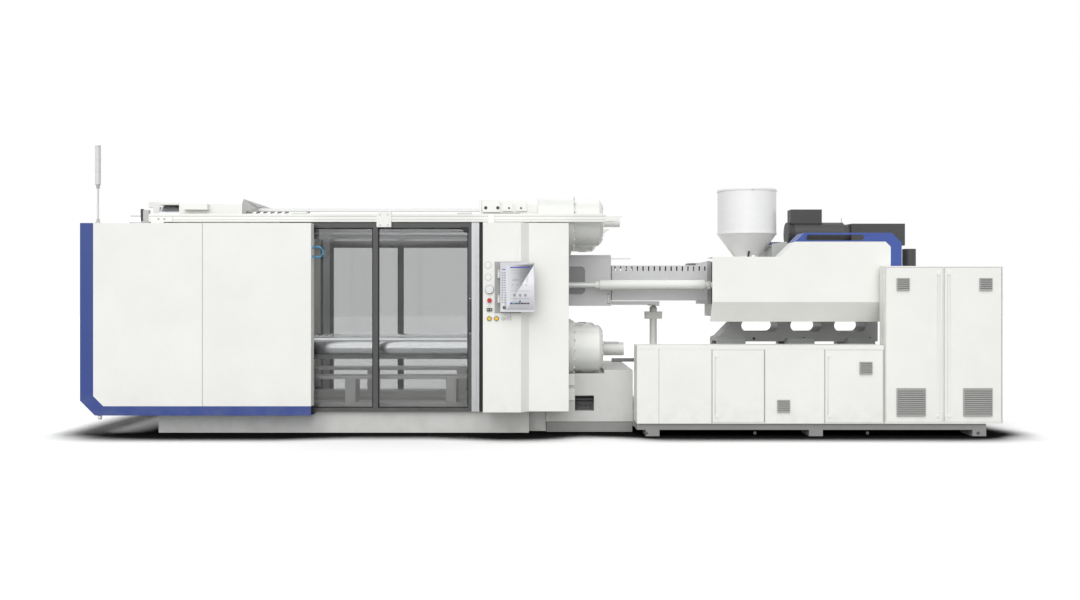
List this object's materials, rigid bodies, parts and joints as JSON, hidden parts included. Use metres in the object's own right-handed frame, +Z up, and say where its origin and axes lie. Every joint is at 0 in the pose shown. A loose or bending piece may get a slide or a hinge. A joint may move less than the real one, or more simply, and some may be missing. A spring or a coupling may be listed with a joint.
{
  "type": "injection moulding machine",
  "caption": "Large horizontal two-platen injection moulding machine with a guarded clamp unit, sliding doors, an operator column, a hopper and cabinets under the injection unit.",
  "frame": {"origin": "middle of the footprint, on the floor", "axes": "+X from the clamp unit to the injection unit, -Y the operator's side, +Z up"},
  "size_m": [9.32, 2.696, 2.952],
  "materials": {
    "white_paint": "satin powder coat with a fine grain",
    "blue_paint": "satin",
    "arch_paint": "satin",
    "grey_paint": "satin",
    "pad_steel": "matt",
    "bright_chrome": "polished",
    "cylinder_paint": "gloss",
    "nut_steel": "machined",
    "black_paint": "satin",
    "door_glazing": "polished sheet",
    "drawn_aluminium": "brushed",
    "panel_housing": "satin, round a dark glossy screen",
    "red_plastic": "gloss",
    "yellow_plastic": "gloss",
    "clear_plastic": "gloss",
    "fitting_plastic": "matt",
    "lamp_plastic": "matt",
    "guard_paint": "satin",
    "cast_paint": "satin over a casting",
    "barrel_steel": "ground",
    "hopper_steel": "polished sheet"
  },
  "bodies": {
    "frame": {"clamp_bed": "white_paint", "levelling_pads": "pad_steel", "fixed_platen": "white_paint", "lock_cylinders": "cylinder_paint", "travel_cylinders": "white_paint", "fixed_rods": "bright_chrome", "side_covers": "white_paint", "cover_bands": "blue_paint", "front_column": "white_paint", "rear_column": "white_paint", "door_rails": "white_paint", "guard_posts": "white_paint", "column_fittings": "fitting_plastic", "signal_lamp": "lamp_plastic", "middle_bed": "white_paint", "injection_bed": "white_paint", "base_cabinets": "white_paint", "tall_cabinet": "white_paint"},
    "moving_platen": {"moving_platen": "white_paint", "platen_brackets": "white_paint", "travel_rods": "bright_chrome", "ejector_cylinder": "black_paint"},
    "tie_bars": {"tie_bars": "bright_chrome"},
    "nuts_front": {"split_nuts_front": "nut_steel"},
    "nuts_rear": {"split_nuts_rear": "nut_steel"},
    "ejector": {"ejector": "nut_steel"},
    "safety_latch": {"safety_latch": "nut_steel"},
    "front_door": {"front_door_frame": "grey_paint", "front_door_glass": "door_glazing", "front_door_edge": "drawn_aluminium"},
    "rear_door": {"rear_door_frame": "grey_paint", "rear_door_glass": "door_glazing", "rear_door_edge": "drawn_aluminium"},
    "operator_panel": {"hmi_panel": "panel_housing"},
    "emergency_stop": {"emergency_stop": "red_plastic"},
    "button_1": {"push_button_1": "yellow_plastic"},
    "button_2": {"push_button_2": "yellow_plastic"},
    "button_3": {"push_button_3": "clear_plastic"},
    "button_4": {"push_button_4": "clear_plastic"},
    "nozzle_guard": {"nozzle_guard": "guard_paint"},
    "carriage": {"carriage": "cast_paint", "barrel": "barrel_steel", "heater_bands": "barrel_steel", "barrel_cover": "guard_paint", "feed_housing": "white_paint", "hopper": "hopper_steel", "unit_cylinders": "white_paint", "drive_stand": "cast_paint", "drive_motor": "black_paint", "injection_covers": "white_paint", "injection_arches": "arch_paint"},
    "slide_gate": {"slide_gate": "hopper_steel"},
    "hopper_lid": {"hopper_lid": "hopper_steel"},
    "crosshead": {"crosshead": "cast_paint"},
    "screw": {"screw": "bright_chrome"},
    "base_door_left": {"base_door_left": "white_paint"},
    "base_door_right": {"base_door_right": "white_paint"},
    "tall_door_left": {"tall_door_left": "white_paint"},
    "tall_door_right": {"tall_door_right": "white_paint"}
  },
  "joints": [
    {"name": "platen_slide", "type": "slide", "parent": "frame", "child": "moving_platen", "axis": [1, 0, 0], "range_m": [0, 1.35]},
    {"name": "tie_bar_pull", "type": "slide", "parent": "frame", "child": "tie_bars", "axis": [1, 0, 0], "range_m": [0, 0.012]},
    {"name": "nuts_front_close", "type": "slide", "parent": "moving_platen", "child": "nuts_front", "axis": [0, 1, 0], "range_m": [0, 0.066]},
    {"name": "nuts_rear_close", "type": "slide", "parent": "moving_platen", "child": "nuts_rear", "axis": [0, -1, 0], "range_m": [0, 0.066]},
    {"name": "ejector_stroke", "type": "slide", "parent": "moving_platen", "child": "ejector", "axis": [1, 0, 0], "range_m": [0, 0.25]},
    {"name": "safety_latch_lift", "type": "hinge", "parent": "moving_platen", "child": "safety_latch", "pos_m": [-3.823, -0.232, 2.424], "axis": [0, 1, 0], "range_deg": [0, 30]},
    {"name": "front_door_slide", "type": "slide", "parent": "frame", "child": "front_door", "axis": [-1, 0, 0], "range_m": [0, 1.3]},
    {"name": "rear_door_slide", "type": "slide", "parent": "frame", "child": "rear_door", "axis": [1, 0, 0], "range_m": [0, 1.3]},
    {"name": "operator_panel_swing", "type": "hinge", "parent": "frame", "child": "operator_panel", "pos_m": [-0.424, -1.278, 1.508], "axis": [0, 0, -1], "range_deg": [0, 60]},
    {"name": "emergency_stop_press", "type": "slide", "parent": "frame", "child": "emergency_stop", "axis": [0, 1, 0], "range_m": [0, 0.004], "stiffness_N_per_m": 600},
    {"name": "button_1_press", "type": "slide", "parent": "frame", "child": "button_1", "axis": [0, 1, 0], "range_m": [0, 0.004], "stiffness_N_per_m": 300},
    {"name": "button_2_press", "type": "slide", "parent": "frame", "child": "button_2", "axis": [0, 1, 0], "range_m": [0, 0.004], "stiffness_N_per_m": 300},
    {"name": "button_3_press", "type": "slide", "parent": "frame", "child": "button_3", "axis": [0, 1, 0], "range_m": [0, 0.004], "stiffness_N_per_m": 300},
    {"name": "button_4_press", "type": "slide", "parent": "frame", "child": "button_4", "axis": [0, 1, 0], "range_m": [0, 0.004], "stiffness_N_per_m": 300},
    {"name": "nozzle_guard_slide", "type": "slide", "parent": "frame", "child": "nozzle_guard", "axis": [1, 0, 0], "range_m": [0, 0.38]},
    {"name": "carriage_slide", "type": "slide", "parent": "frame", "child": "carriage", "axis": [-1, 0, 0], "range_m": [0, 0.35]},
    {"name": "slide_gate_pull", "type": "slide", "parent": "carriage", "child": "slide_gate", "axis": [0, -1, 0], "range_m": [0, 0.2]},
    {"name": "hopper_lid_lift", "type": "hinge", "parent": "carriage", "child": "hopper_lid", "pos_m": [2.308, 0.395, 2.562], "axis": [-1, 0, 0], "range_deg": [0, 100]},
    {"name": "injection_stroke", "type": "slide", "parent": "carriage", "child": "crosshead", "axis": [-1, 0, 0], "range_m": [0, 0.3]},
    {"name": "screw_turn", "type": "hinge", "parent": "crosshead", "child": "screw", "pos_m": [2.4, 0.048, 1.535], "axis": [1, 0, 0], "continuous": true},
    {"name": "base_door_left_swing", "type": "hinge", "parent": "frame", "child": "base_door_left", "pos_m": [2.24, -1.143, 0.52], "axis": [0, 0, 1], "range_deg": [0, 110]},
    {"name": "base_door_right_swing", "type": "hinge", "parent": "frame", "child": "base_door_right", "pos_m": [3.441, -1.143, 0.52], "axis": [0, 0, 1], "range_deg": [0, 85]},
    {"name": "tall_door_left_swing", "type": "hinge", "parent": "frame", "child": "tall_door_left", "pos_m": [3.487, -1.143, 0.9], "axis": [0, 0, -1], "range_deg": [0, 85]},
    {"name": "tall_door_right_swing", "type": "hinge", "parent": "frame", "child": "tall_door_right", "pos_m": [4.639, -1.143, 0.9], "axis": [0, 0, 1], "range_deg": [0, 110]}
  ],
  "couplings": [
    {"joint": "nuts_rear_close", "follows": "nuts_front_close", "ratio": 1}
  ]
}
